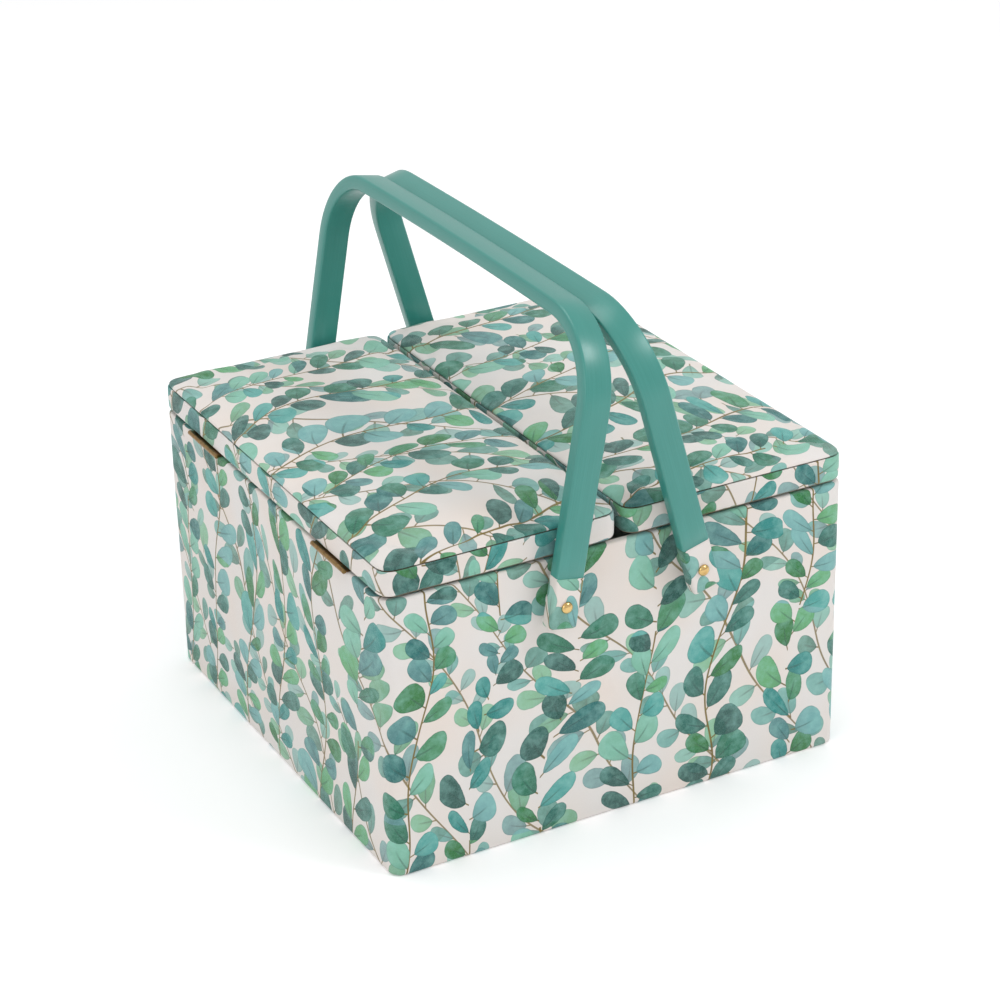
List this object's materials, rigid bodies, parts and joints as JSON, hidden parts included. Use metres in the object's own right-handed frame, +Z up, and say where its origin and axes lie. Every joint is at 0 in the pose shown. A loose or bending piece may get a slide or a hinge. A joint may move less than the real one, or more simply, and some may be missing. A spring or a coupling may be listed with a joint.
{
  "type": "sewing basket",
  "caption": "Square cloth-covered sewing box with padded lids that meet in the middle on outer hinges, strap handles that swing down and a compartment tray inside.",
  "frame": {"origin": "centre of the underside, on the surface that the basket stands on", "axes": "+X along the front face to the right, +Y from the front face to the back, +Z up"},
  "size_m": [0.3062, 0.3384, 0.3135],
  "materials": {
    "printed_cloth": "matt woven canvas with a watercolour leaf print",
    "lining_cloth": "matt plain weave",
    "fibre_board": "unfinished fibre board",
    "foam": "soft padding",
    "pincushion_cloth": "matt plain weave",
    "handle_plastic": "satin with fine lengthwise streaks",
    "tray_plastic": "fine moulded grain",
    "brass": "polished"
  },
  "bodies": {
    "box": {"base_cover": "printed_cloth", "base_panel": "fibre_board", "left_panel": "fibre_board", "right_panel": "fibre_board", "front_panel": "fibre_board", "back_panel": "fibre_board", "outer_wrap": "printed_cloth", "lining_walls": "lining_cloth", "lining_floor": "lining_cloth", "tray_ledge_left": "fibre_board", "tray_ledge_right": "fibre_board", "organiser_tray": "tray_plastic", "hinge_left_front_lower_leaf": "brass", "hinge_left_front_pin": "brass", "rivet_left_front": "brass", "spacer_left_front": "tray_plastic", "washer_left_front": "brass", "hinge_left_back_lower_leaf": "brass", "hinge_left_back_pin": "brass", "rivet_left_back": "brass", "spacer_left_back": "tray_plastic", "washer_left_back": "brass", "hinge_right_front_lower_leaf": "brass", "hinge_right_front_pin": "brass", "rivet_right_front": "brass", "spacer_right_front": "tray_plastic", "washer_right_front": "brass", "hinge_right_back_lower_leaf": "brass", "hinge_right_back_pin": "brass", "rivet_right_back": "brass", "spacer_right_back": "tray_plastic", "washer_right_back": "brass"},
    "lid_left": {"hinge_left_front_upper_leaf": "brass", "hinge_left_back_upper_leaf": "brass", "lid_left_band": "printed_cloth", "lid_left_rim": "fibre_board", "lid_left_board": "fibre_board", "lid_left_lining": "lining_cloth", "lid_left_top_cover": "printed_cloth", "lid_left_foam": "foam", "pincushion": "pincushion_cloth"},
    "lid_right": {"hinge_right_front_upper_leaf": "brass", "hinge_right_back_upper_leaf": "brass", "lid_right_band": "printed_cloth", "lid_right_rim": "fibre_board", "lid_right_board": "fibre_board", "lid_right_lining": "lining_cloth", "lid_right_top_cover": "printed_cloth", "lid_right_foam": "foam", "elastic_pocket": "lining_cloth"},
    "handle_left": {"handle_left_end_cover_front": "printed_cloth", "handle_left_end_cover_back": "printed_cloth", "handle_left": "handle_plastic"},
    "handle_right": {"handle_right_end_cover_front": "printed_cloth", "handle_right_end_cover_back": "printed_cloth", "handle_right": "handle_plastic"}
  },
  "joints": [
    {"name": "lid_left_hinge", "type": "hinge", "parent": "box", "child": "lid_left", "pos_m": [-0.1516, 0, 0.1759], "axis": [0, -1, 0], "range_deg": [0, 180]},
    {"name": "lid_right_hinge", "type": "hinge", "parent": "box", "child": "lid_right", "pos_m": [0.1516, 0, 0.1759], "axis": [0, 1, 0], "range_deg": [0, 180]},
    {"name": "handle_left_swing", "type": "hinge", "parent": "box", "child": "handle_left", "pos_m": [-0.0445, 0, 0.151], "axis": [0, -1, 0], "range_deg": [0, 130]},
    {"name": "handle_right_swing", "type": "hinge", "parent": "box", "child": "handle_right", "pos_m": [0.0445, 0, 0.151], "axis": [0, 1, 0], "range_deg": [0, 135]}
  ]
}
